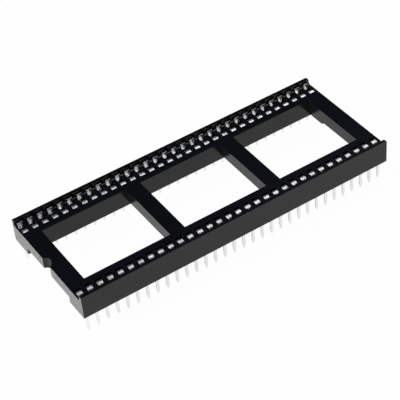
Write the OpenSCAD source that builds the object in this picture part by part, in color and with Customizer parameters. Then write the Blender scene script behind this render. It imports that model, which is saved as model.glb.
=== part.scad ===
// Shrink dual-in-line socket: a black ladder-shaped moulding with two rows of twin-leaf contacts.
// Millimetres. Z = 0 is the board surface that the rails stand on, X runs along the rows,
// and the half-round index notch is at the -X end.

/* [Contact grid] */
// Number of contacts in each row
contacts_per_row = 32; // [16:1:40]
// Distance between neighbouring contacts
pitch = 1.778; // [1.7:0.001:2.54]
// Distance between the two rows of contacts
row_spacing = 19.05; // [16:0.01:25.4]

/* [Contacts] */
// Thickness of the chip lead that a contact grips
lead_t = 0.25; // [0.2:0.01:0.35]
// Thickness of the sheet that the contacts are cut from
strip_t = 0.2; // [0.15:0.01:0.22]
// Width of a leaf
leaf_w = 0.9; // [0.75:0.01:1]
// Turn of each leaf when a lead is in the slot, in degrees
leaf_swing = 2.5; // [1:0.1:3]
// Middle radius of the bend where a leaf leaves the base
root_bend_r = 0.3; // [0.25:0.01:0.4]
// Depth of the inner leaf's touching line below the deck
inner_touch_depth = 1.1; // [0.95:0.01:1.25]
// Lean of the inner leaf below its touching line, in degrees from upright
inner_lean = 20; // [15:1:25]
// Middle radius of the inner leaf's bend at its touching line
inner_touch_r = 0.35; // [0.25:0.01:0.4]
// Flare of the inner leaf above its touching line, in degrees from upright
inner_flare = 45; // [40:1:50]
// Middle radius of the inner leaf's rounded top
inner_top_r = 0.7; // [0.55:0.01:0.8]
// Turn of the inner leaf's rounded top past level, in degrees
inner_curl = 28; // [15:1:40]
// Depth of the inner leaf's rounded top below the deck
inner_top_depth = 0.13; // [0.08:0.01:0.25]
// Depth of the outer leaf's touching line below the deck
outer_touch_depth = 0.6; // [0.4:0.01:0.8]
// Lean of the outer leaf below its touching line, in degrees from upright
outer_lean = 10; // [8:1:13]
// Middle radius of the outer leaf's bend at its touching line
outer_touch_r = 0.5; // [0.4:0.01:0.7]
// Flare of the outer leaf above its touching line, in degrees from upright
outer_flare = 10; // [8:1:14]
// Rise of the outer leaf's tip above the deck
outer_rise = 0.45; // [0.3:0.01:0.6]

/* [Tails] */
// Width of a solder tail
tail_w = 0.5; // [0.4:0.01:0.6]
// Length of a tail below the board surface
tail_len = 3.8; // [3:0.1:4.5]
// Length of the tapered point of a tail
tail_point = 0.8; // [0.4:0.05:1.2]
// Width left at the very tip of a tail
tail_tip_w = 0.15; // [0.1:0.01:0.25]

/* [Rails] */
// Height of the deck above the board
deck_h = 3.3; // [3.1:0.05:3.8]
// Height of the rim above the deck
rim_h = 0.98; // [0.85:0.01:1.2]
// Thickness of the rim
rim_t = 0.53; // [0.4:0.01:0.7]
// Radius of the hollow corner between rim and deck
rim_fillet = 0.5; // [0.2:0.05:0.7]
// Radius of the rim's rounded corners at the plain end
rim_end_r = 0.25; // [0.1:0.05:0.8]
// Thickness of the rail between the contact cells and the windows
inner_wall = 1.25; // [0.9:0.01:1.6]
// Thickness of the floor that carries the contacts
floor_t = 0.45; // [0.35:0.01:0.6]

/* [Cross bars] */
// Number of windows between the cross bars
windows = 3; // [2:1:4]
// Width of a cross bar between two windows
bar_w = 2.7; // [2:0.05:3.5]
// Width of the cross bar at each end
end_bar_w = 2.88; // [2.4:0.02:3.6]
// Depth of a cross bar below the deck
bar_depth = 2.2; // [1.5:0.05:2.5]
// Depth of the notched end bar below the deck
notch_bar_depth = 2.1; // [1.2:0.05:2.6]
// Radius of the index notch
notch_r = 1.2; // [0.8:0.05:1.6]
// Distance of the notch's centre outside the end face
notch_set_out = 0.35; // [0:0.05:0.6]
// Depth of the deep corner below the underside of the plain end bar
corner_drop = 0.45; // [0.2:0.05:0.7]
// Reach of the deep corner from the far rail
corner_reach = 3.7; // [1:0.1:4.5]
// Slope length at the inner end of the deep corner
corner_slope = 0.7; // [0.2:0.05:1]

/* [Clearances] */
// Space beside a leaf in its cell
leaf_side_gap = 0.1; // [0.06:0.01:0.15]
// Space left between an opened inner leaf and the end of its cell
inner_end_gap = 0.15; // [0.05:0.01:0.4]
// Space left between an opened outer leaf and the end of its cell
outer_end_gap = 0.05; // [0.03:0.01:0.1]
// Space under a leaf's root bend
root_gap = 0.05; // [0.03:0.01:0.1]
// Space between a leaf's root and the base that it flexes from
flex_gap = 0.02; // [0.018:0.001:0.03]
// Space on each side of the base in its cell
base_gap = 0.02; // [0.01:0.005:0.05]
// Space around a tail in the floor
tail_gap = 0.05; // [0.03:0.01:0.08]

/* [Hidden] */
$fn = 64;
body_colour = "#17191d";
contact_colour = "#c9cbcd";

length = contacts_per_row * pitch;
rim_top = deck_h + rim_h;
base_t = strip_t + root_gap;
cell_w = leaf_w + 2 * leaf_side_gap;

// The leaf profiles lie in a plane across the row: s points outwards from the row line.
// Angles are headings, counted from outwards (0) through upright (90) to inwards (180).
hinge_z = floor_t + root_gap + strip_t / 2 + root_bend_r;

// Inner leaf, from its root: up and out to the touching line, back inwards, then over its rounded top.
inner_up = 90 - inner_lean;
inner_back = 90 + inner_flare;
inner_touch_z = deck_h - inner_touch_depth;
inner_top_z = deck_h - inner_top_depth - strip_t / 2;
inner_run = (inner_touch_z - hinge_z - (root_bend_r + inner_touch_r) * cos(inner_up)) / sin(inner_up);
inner_bulge = inner_run * cos(inner_up) - (root_bend_r + inner_touch_r) * sin(inner_up) + inner_touch_r;
inner_rise_z = inner_touch_z - inner_touch_r * cos(inner_back);
inner_ramp = (inner_top_z - inner_rise_z - inner_top_r * (1 + cos(inner_back))) / sin(inner_back);

// Outer leaf, from its root: up and in to the touching line, then out to the tip.
outer_up = 90 + outer_lean;
outer_out = 90 - outer_flare;
outer_touch_z = deck_h - outer_touch_depth;
outer_tip_z = deck_h + outer_rise;
outer_run = (outer_touch_z - hinge_z + (root_bend_r + outer_touch_r) * cos(outer_up)) / sin(outer_up);
outer_bulge = outer_run * cos(outer_up) + (root_bend_r + outer_touch_r) * sin(outer_up) - outer_touch_r;
outer_ramp = (outer_tip_z - outer_touch_z - outer_touch_r * cos(outer_out)) / sin(outer_out);

// At full swing the touching lines stand one lead thickness apart, evenly about the row line.
inner_travel = (inner_touch_z - hinge_z) * sin(leaf_swing);
outer_travel = (outer_touch_z - hinge_z) * sin(leaf_swing);
inner_root = -(lead_t / 2 - inner_travel) - strip_t / 2 - inner_bulge;
outer_root = lead_t / 2 - outer_travel + strip_t / 2 - outer_bulge;
inner_top_s = inner_root + inner_bulge - inner_touch_r * (1 - sin(inner_back))
    + inner_ramp * cos(inner_back) - inner_top_r * sin(inner_back);
inner_reach = (inner_top_r + strip_t / 2) * sin(inner_curl) - inner_top_s;
outer_tip_s = outer_root + outer_bulge + outer_touch_r * (1 - sin(outer_out)) + outer_ramp * cos(outer_out);

// Each cell ends clear of its opened leaves and their root bends, and the rail's walls follow the cell.
cell_in = inner_reach + (inner_top_z + strip_t / 2 - hinge_z) * sin(leaf_swing) + inner_end_gap;
outer_tip_open = outer_tip_s + strip_t / 2 + (outer_tip_z - hinge_z) * sin(leaf_swing);
cell_out = max(outer_tip_open, outer_root + root_bend_r + strip_t / 2) + outer_end_gap;
rail_in = row_spacing / 2 - cell_in - inner_wall;
rail_out = row_spacing / 2 + cell_out + rim_t;
bar_overlap = inner_wall / 2;
window_l = (length - 2 * end_bar_w - (windows - 1) * bar_w) / windows;
past = 1;

function pair_name(i) = str("contact_pair_", i < 10 ? "0" : "", i);
function contact_x(i) = (i - (contacts_per_row + 1) / 2) * pitch;

// Turns a profile drawn in s and z into the section of one row, at one place along X.
module across_row(side, x) {
    translate([x, 0, 0])
        mirror([0, side < 0 ? 1 : 0, 0])
            translate([0, row_spacing / 2, 0])
                rotate([90, 0, 90])
                    children();
}

// A flat strip that starts along +X and follows its steps: [straight run, turn, middle radius].
module bent_strip(steps, i = 0) {
    if (i < len(steps)) {
        run = steps[i][0];
        turn = steps[i][1];
        centre = sign(turn) * steps[i][2];
        if (run > 0)
            translate([0, -strip_t / 2, -leaf_w / 2])
                cube([run, strip_t, leaf_w]);
        translate([run, centre, 0]) {
            if (turn != 0)
                rotate(turn > 0 ? -90 : 90 + turn)
                    rotate_extrude(angle = abs(turn))
                        translate([abs(centre) - strip_t / 2, -leaf_w / 2])
                            square([strip_t, leaf_w]);
            rotate(turn)
                translate([0, -centre, 0])
                    bent_strip(steps, i + 1);
        }
    }
}

module inner_leaf() {
    translate([inner_root, hinge_z - root_bend_r, 0])
        rotate(180)
            bent_strip([
                [0, inner_up - 180, root_bend_r],
                [inner_run, inner_back - inner_up, inner_touch_r],
                [inner_ramp, 180 + inner_curl - inner_back, inner_top_r]
            ]);
}

module outer_leaf() {
    translate([outer_root, hinge_z - root_bend_r, 0])
        bent_strip([
            [0, outer_up, root_bend_r],
            [outer_run, outer_out - outer_up, outer_touch_r],
            [outer_ramp, 0, 0]
        ]);
}

// Base plate of one contact, with the blade tail that goes through the floor.
module contact_base() {
    translate([inner_root + flex_gap, floor_t, base_gap - cell_w / 2])
        cube([outer_root - inner_root - 2 * flex_gap, base_t, cell_w - 2 * base_gap]);
    rotate([0, 90, 0])
        linear_extrude(strip_t, center = true)
            polygon([
                [-tail_w / 2, floor_t],
                [-tail_w / 2, tail_point - tail_len],
                [-tail_tip_w / 2, -tail_len],
                [tail_tip_w / 2, -tail_len],
                [tail_w / 2, tail_point - tail_len],
                [tail_w / 2, floor_t]
            ]);
}

// The two contacts that face each other across the socket.
module contact_pair(i) {
    color(contact_colour)
        for (side = [-1, 1])
            across_row(side, contact_x(i))
                contact_base();
}

module leaf_row(side) {
    color(contact_colour)
        for (i = [1:contacts_per_row])
            across_row(side, contact_x(i))
                children();
}

// Section of a rail: a block with a rim along its outer edge and a hollow corner inside the rim.
module rail_section() {
    polygon([
        [rail_in, 0],
        [rail_out, 0],
        [rail_out, rim_top],
        [rail_out - rim_t, rim_top],
        [rail_out - rim_t, deck_h],
        [rail_in, deck_h]
    ]);
    difference() {
        translate([rail_out - rim_t - rim_fillet, deck_h])
            square(rim_fillet);
        translate([rail_out - rim_t - rim_fillet, deck_h + rim_fillet])
            circle(rim_fillet);
    }
}

// Rounds the rim's top corners at the plain end.
module rim_end_cut() {
    translate([length / 2 - rim_end_r, 0, rim_top - rim_end_r])
        rotate([90, 0, 0])
            linear_extrude(2 * (rail_out + past), center = true)
                difference() {
                    square(rim_end_r + past);
                    circle(rim_end_r);
                }
}

module rails() {
    difference() {
        for (side = [0, 1])
            mirror([0, side, 0])
                rotate([90, 0, 90])
                    linear_extrude(length, center = true)
                        rail_section();
        rim_end_cut();
    }
}

module cross_bar(x, w, depth) {
    translate([x, -rail_in - bar_overlap, deck_h - depth])
        cube([w, 2 * (rail_in + bar_overlap), depth]);
}

// Deep corner under the plain end bar at the far rail, sloped at its inner end.
module deep_corner() {
    translate([length / 2 - end_bar_w, 0, deck_h - bar_depth])
        rotate([90, 0, 90])
            linear_extrude(end_bar_w)
                polygon([
                    [rail_in + bar_overlap, 0],
                    [rail_in + bar_overlap, -corner_drop],
                    [rail_in - corner_reach, -corner_drop],
                    [rail_in - corner_reach - corner_slope, 0]
                ]);
}

// One contact's cell, open at the top, and the slot for its tail through the floor.
module cell() {
    translate([-cell_in, floor_t, -cell_w / 2])
        cube([cell_in + cell_out, rim_top, cell_w]);
    translate([-strip_t / 2 - tail_gap, -past, -tail_w / 2 - tail_gap])
        cube([strip_t + 2 * tail_gap, floor_t + 2 * past, tail_w + 2 * tail_gap]);
}

module housing() {
    color(body_colour)
        difference() {
            union() {
                rails();
                cross_bar(-length / 2, end_bar_w, notch_bar_depth);
                for (i = [1:windows - 1])
                    cross_bar(end_bar_w - length / 2 + i * window_l + (i - 1) * bar_w, bar_w, bar_depth);
                cross_bar(length / 2 - end_bar_w, end_bar_w, bar_depth);
                deep_corner();
            }
            translate([-length / 2 - notch_set_out, 0, -past])
                cylinder(h = rim_top + 2 * past, r = notch_r);
            for (side = [-1, 1], i = [1:contacts_per_row])
                across_row(side, contact_x(i))
                    cell();
        }
}

housing();
for (i = [1:contacts_per_row]) contact_pair(i);
leaf_row(-1) inner_leaf();  // near_inner_leaves
leaf_row(-1) outer_leaf();  // near_outer_leaves
leaf_row(1) inner_leaf();  // far_inner_leaves
leaf_row(1) outer_leaf();  // far_outer_leaves
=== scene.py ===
"""Looks of a shrink dual-in-line chip socket: black moulding, tinned contacts, white studio."""

import math

import bpy
from mathutils import Euler, Matrix, Vector


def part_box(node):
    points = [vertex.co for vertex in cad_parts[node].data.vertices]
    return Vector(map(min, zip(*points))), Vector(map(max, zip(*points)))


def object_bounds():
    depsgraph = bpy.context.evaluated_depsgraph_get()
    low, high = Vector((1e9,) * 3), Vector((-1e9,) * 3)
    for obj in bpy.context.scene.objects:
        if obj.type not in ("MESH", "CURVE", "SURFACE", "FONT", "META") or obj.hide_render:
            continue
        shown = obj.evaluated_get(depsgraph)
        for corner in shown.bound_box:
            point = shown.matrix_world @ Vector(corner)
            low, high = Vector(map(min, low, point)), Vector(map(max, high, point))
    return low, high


MM = 0.001

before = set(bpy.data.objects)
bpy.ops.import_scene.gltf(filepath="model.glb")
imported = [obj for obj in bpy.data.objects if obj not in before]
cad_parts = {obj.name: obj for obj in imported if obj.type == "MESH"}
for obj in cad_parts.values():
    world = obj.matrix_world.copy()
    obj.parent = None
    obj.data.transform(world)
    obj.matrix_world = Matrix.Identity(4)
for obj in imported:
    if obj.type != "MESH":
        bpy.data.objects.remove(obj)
cad_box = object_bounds()

# Places read from the frame, in metres
FLOOR_Z = cad_box[0][2]
END_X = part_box("housing")[1][0]
TIP_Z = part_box("far_outer_leaves")[1][2]

# Camera, fitted to the photograph: angles in degrees, lengths in millimetres
CAMERA_AZIMUTH = -30.010
CAMERA_ELEVATION = 42.182
CAMERA_ROLL = -5.555
CAMERA_DISTANCE = 228.328
CAMERA_TARGET = (-0.584, 0.333, -0.004)
CAMERA_FOCAL_PX = 1434.2
CAMERA_CLIP_START = 10.0
IMAGE_SIDE_PX = 400
SENSOR_WIDTH = 36.0

# Studio: the floor's side in metres, its share of plain white for the camera and for reflections
FLOOR_SIDE = 6.0
FLOOR_GLOW = 0.98
FLOOR_SHINE = 0.78
FIBRE_SCALE = 0.8
PAPER_COLOURS = ((0.86, 0.86, 0.86, 1.0), (0.88, 0.88, 0.88, 1.0))
WHITE = (1.0, 1.0, 1.0, 1.0)
WORLD_COLOUR = (0.03, 0.031, 0.034, 1.0)

# Lamps: name, place, width along the rows and depth in metres, power in watts
LAMPS = (
    ("key_lamp", (0.145, 0.047, 0.28), 0.15, 0.27, 0.26),
    ("top_lamp", (-0.085, -0.02, 0.29), 0.19, 0.2, 0.07),
    ("left_lamp", (-0.32, 0.10, 0.20), 0.2, 0.2, 1.22),
)

# Surfaces: where most of a noise lies, and a normal's share along an axis that counts as square
NOISE_MIDDLE = (0.3, 0.7)
SQUARE_ON = 0.9

# Plastic: noise scales per millimetre, colours with a paler painted sheen on the end faces, and
# roughness with what walls and cut ends add
GLOSS_CLOUD_SCALE = 0.12
GLOSS_CLOUD_MIDDLE = (0.35, 0.65)
GRAIN_SCALE = 6.0
SPECKLE_SCALE = 2.2
GLOSS_COLOURS = ((0.0036, 0.0040, 0.0052, 1.0), (0.0046, 0.0052, 0.0100, 1.0))
# Paler colours for the end faces: painted sheen, standing in for the light that falls on them
END_SHEEN_COLOURS = ((0.19, 0.19, 0.195, 1.0), (0.36, 0.36, 0.365, 1.0))
GLOSS_ROUGHNESS = (0.10, 0.15)
WALL_ROUGHNESS = 0.10
WALL_TO_TOP = (0.3, 0.8)
CUT_END_ROUGHNESS = 0.4
CUT_END_DEPTH_MM = 0.02
GRAIN_STRENGTH = 0.05
GRAIN_DEPTH_MM = 0.01
PLASTIC_IOR = 1.42

# Tin: noise scales per millimetre, and what lines, bends and cut edges add to the roughness
TIN_CLOUD_SCALE = 1.1
LUMP_SCALE = 3.0
LUMP_DEPTH_MM = 0.08
LINE_SCALE = 1.6
LINE_STRETCH = (0.6, 9.0, 9.0)
LINE_ROUGHNESS = 0.02
LINE_HEIGHT = 0.15
BEND_ROUGHNESS = 0.20
SLOPE_TO_BEND = (0.75, 0.9)
CUT_EDGE_ROUGHNESS = 0.5
CUT_TIP_DEPTH_MM = 0.06


class Nodes:
    """A material's node tree, with short calls to add nodes and to join them."""

    def __init__(self, name):
        self.material = bpy.data.materials.new(name)
        self.material.use_nodes = True
        self.tree = self.material.node_tree
        self.tree.nodes.clear()
        self.output = self.add("ShaderNodeOutputMaterial")

    def put(self, socket, value):
        """Joins a socket to another one, or sets its value."""
        if isinstance(value, bpy.types.NodeSocket):
            self.tree.links.new(value, socket)
        else:
            socket.default_value = value

    def add(self, kind, values=None, **settings):
        node = self.tree.nodes.new(kind)
        for key, value in settings.items():
            setattr(node, key, value)
        for key, value in (values or {}).items():
            self.put(node.inputs[key], value)
        return node

    def surface(self, socket):
        self.put(self.output.inputs["Surface"], socket)
        return self.material

    def math(self, operation, a, b=0.0):
        return self.add("ShaderNodeMath", {0: a, 1: b}, operation=operation).outputs[0]

    def place(self):
        """The object's own coordinates, in millimetres."""
        coordinates = self.add("ShaderNodeTexCoord").outputs["Object"]
        return self.stretch(coordinates, (1 / MM,) * 3)

    def stretch(self, vector, scale):
        return self.add("ShaderNodeMapping", {"Vector": vector, "Scale": scale}).outputs["Vector"]

    def normal(self):
        """X, Y and Z of the object's own surface normal."""
        return self.parts(self.add("ShaderNodeTexCoord").outputs["Normal"])

    def parts(self, vector):
        return self.add("ShaderNodeSeparateXYZ", {0: vector}).outputs

    def faces_end(self, normal):
        """1 on faces that look along the rows, to either end."""
        return self.math("GREATER_THAN", self.math("ABSOLUTE", normal["X"]), SQUARE_ON)

    def noise(self, vector, scale, detail=3.0, roughness=0.5):
        values = {"Vector": vector, "Scale": scale, "Detail": detail, "Roughness": roughness}
        return self.add("ShaderNodeTexNoise", values).outputs["Fac"]

    def spread(self, value, low, high, to_low, to_high):
        """Maps a range of a value to another range, held at its ends."""
        names = ("Value", "From Min", "From Max", "To Min", "To Max")
        values = dict(zip(names, (value, low, high, to_low, to_high)))
        return self.add("ShaderNodeMapRange", values).outputs[0]

    def vary(self, noise, to_low, to_high):
        """Maps the middle of a noise to a range."""
        return self.spread(noise, *NOISE_MIDDLE, to_low, to_high)

    def blend(self, share, a, b):
        """Colour between a and b."""
        mix = self.add("ShaderNodeMix", data_type="RGBA")
        sockets = {s.identifier: s for s in mix.inputs}
        for key, value in (("Factor_Float", share), ("A_Color", a), ("B_Color", b)):
            self.put(sockets[key], value)
        return next(s for s in mix.outputs if s.identifier == "Result_Color")

    def bump(self, height, strength, depth_mm):
        values = {"Strength": strength, "Distance": depth_mm * MM, "Height": height}
        return self.add("ShaderNodeBump", values).outputs["Normal"]


def black_plastic():
    """Black moulding: glossy on top, a little less on its walls, matt on its cut ends, where a
    paler colour is painted sheen of the light falling on them.
    """
    n = Nodes("black_plastic")
    place = n.place()
    normal = n.normal()
    along = n.math("ABSOLUTE", n.parts(place)["X"])
    at_end = n.math("GREATER_THAN", along, END_X / MM - CUT_END_DEPTH_MM)
    # The end faces: matt, and painted paler there as a sheen of the light that falls on them
    end_matt_and_sheen = n.math("MULTIPLY", at_end, n.faces_end(normal))
    wall = n.spread(n.math("ABSOLUTE", normal["Z"]), *WALL_TO_TOP, 1.0, 0.0)

    cloud = n.noise(place, GLOSS_CLOUD_SCALE)
    grain = n.noise(place, GRAIN_SCALE, detail=4.0)
    speckle = n.noise(place, SPECKLE_SCALE, detail=8.0, roughness=0.75)

    gloss_colour = n.blend(n.spread(cloud, *GLOSS_CLOUD_MIDDLE, 0.0, 1.0), *GLOSS_COLOURS)
    # Speckled paler colour on the end faces: painted sheen
    end_sheen_colour = n.blend(n.vary(speckle, 0.0, 1.0), *END_SHEEN_COLOURS)
    gloss_rough = n.vary(grain, *GLOSS_ROUGHNESS)
    moulded_rough = n.math("ADD", gloss_rough, n.math("MULTIPLY", wall, WALL_ROUGHNESS))
    cut_rough = n.math("MULTIPLY", end_matt_and_sheen, CUT_END_ROUGHNESS)
    shader = n.add("ShaderNodeBsdfPrincipled", {
        "Base Color": n.blend(end_matt_and_sheen, gloss_colour, end_sheen_colour),
        "Roughness": n.math("ADD", moulded_rough, cut_rough),
        "IOR": PLASTIC_IOR,
        "Normal": n.bump(grain, GRAIN_STRENGTH, GRAIN_DEPTH_MM),
    })
    return n.surface(shader.outputs["BSDF"])


def tin_plate(name, dull, bright, rough_low, rough_high, lumps):
    """Tin on a stamped strip: clouds, rolling lines along X, lumps, dull bends, matt cut edges."""
    n = Nodes(name)
    place = n.place()
    normal = n.normal()
    cloud = n.noise(place, TIN_CLOUD_SCALE, detail=4.0)
    lines = n.noise(n.stretch(place, LINE_STRETCH), LINE_SCALE)
    lump = n.noise(place, LUMP_SCALE, detail=1.0)

    at_tip = n.math("GREATER_THAN", n.parts(place)["Z"], TIP_Z / MM - CUT_TIP_DEPTH_MM)
    tip = n.math("MULTIPLY", at_tip, n.math("GREATER_THAN", normal["Z"], SQUARE_ON))
    cut_edge = n.math("MAXIMUM", n.faces_end(normal), tip)

    clouded = n.vary(cloud, rough_high, rough_low)
    rolled = n.math("ADD", clouded, n.vary(lines, -LINE_ROUGHNESS, LINE_ROUGHNESS))
    bend = n.spread(normal["Z"], *SLOPE_TO_BEND, 0.0, BEND_ROUGHNESS)
    worked = n.math("MAXIMUM", bend, n.math("MULTIPLY", cut_edge, CUT_EDGE_ROUGHNESS))
    height = n.math("ADD", lump, n.math("MULTIPLY", lines, LINE_HEIGHT))
    shader = n.add("ShaderNodeBsdfPrincipled", {
        "Base Color": n.blend(n.vary(cloud, 0.0, 1.0), dull, bright),
        "Metallic": 1.0,
        "Roughness": n.math("ADD", rolled, worked),
        "Normal": n.bump(height, lumps, LUMP_DEPTH_MM),
    })
    return n.surface(shader.outputs["BSDF"])


def floor_paper():
    """White paper, mostly plain white to the camera and in reflections, with a faint shadow."""
    n = Nodes("floor_paper")
    fibre = n.noise(n.place(), FIBRE_SCALE, detail=4.0)
    colour = n.blend(n.vary(fibre, 0.0, 1.0), *PAPER_COLOURS)
    paper = n.add("ShaderNodeBsdfDiffuse", {"Color": colour}).outputs["BSDF"]
    glow = n.add("ShaderNodeEmission", {"Color": WHITE, "Strength": 1.0}).outputs["Emission"]
    path = n.add("ShaderNodeLightPath").outputs
    seen = n.math("MULTIPLY", path["Is Camera Ray"], FLOOR_GLOW)
    mirrored = n.math("MULTIPLY", path["Is Glossy Ray"], FLOOR_SHINE)
    share = n.math("ADD", seen, mirrored)
    shader = n.add("ShaderNodeMixShader", {0: share, 1: paper, 2: glow})
    return n.surface(shader.outputs["Shader"])


def dress_frame():
    plastic = black_plastic()
    leaf_tin = tin_plate(
        "leaf_tin", dull=(0.58, 0.59, 0.60, 1.0), bright=(0.80, 0.80, 0.79, 1.0),
        rough_low=0.16, rough_high=0.22, lumps=0.6)
    tail_tin = tin_plate(
        "tail_tin", dull=(0.96, 0.96, 0.96, 1.0), bright=(0.985, 0.985, 0.98, 1.0),
        rough_low=0.18, rough_high=0.24, lumps=0.06)
    for name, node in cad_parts.items():
        node.data.materials.clear()
        if name == "housing":
            node.data.materials.append(plastic)
        else:
            node.data.materials.append(leaf_tin if name.endswith("leaves") else tail_tin)


def add_floor():
    bpy.ops.mesh.primitive_plane_add(size=FLOOR_SIDE, location=(0, 0, FLOOR_Z))
    floor = bpy.context.object
    floor.name = "studio_floor"
    floor.data.materials.append(floor_paper())


def add_lamp(name, place, width, depth, power):
    """A soft lamp that looks at the socket, its width along the rows."""
    lamp = bpy.data.lights.new(name, "AREA")
    lamp.shape = "RECTANGLE"
    lamp.size = width
    lamp.size_y = depth
    lamp.energy = power
    back = Vector(place).normalized()
    side = (Vector((1, 0, 0)) - back * back.x).normalized()
    holder = bpy.data.objects.new(name, lamp)
    holder.location = place
    holder.rotation_euler = Matrix((side, back.cross(side), back)).transposed().to_euler()
    bpy.context.scene.collection.objects.link(holder)


def add_lights():
    for lamp in LAMPS:
        add_lamp(*lamp)
    world = bpy.data.worlds.new("studio_air")
    world.use_nodes = True
    world.node_tree.nodes["Background"].inputs["Color"].default_value = WORLD_COLOUR
    bpy.context.scene.world = world


def add_camera():
    camera = bpy.data.cameras.new("photo_camera")
    camera.sensor_width = SENSOR_WIDTH
    camera.lens = CAMERA_FOCAL_PX * SENSOR_WIDTH / IMAGE_SIDE_PX
    camera.clip_start = CAMERA_CLIP_START * MM
    tilt = math.radians(90 - CAMERA_ELEVATION)
    turn = Euler((tilt, 0, math.radians(CAMERA_AZIMUTH))).to_matrix()
    roll = Euler((0, 0, math.radians(CAMERA_ROLL))).to_matrix()
    back = turn @ Vector((0, 0, CAMERA_DISTANCE * MM))
    holder = bpy.data.objects.new("photo_camera", camera)
    holder.location = Vector(CAMERA_TARGET) * MM + back
    holder.rotation_euler = (turn @ roll).to_euler()
    bpy.context.scene.collection.objects.link(holder)
    bpy.context.scene.camera = holder


dress_frame()
add_floor()
add_lights()
add_camera()
bpy.context.scene.view_settings.view_transform = "Standard"
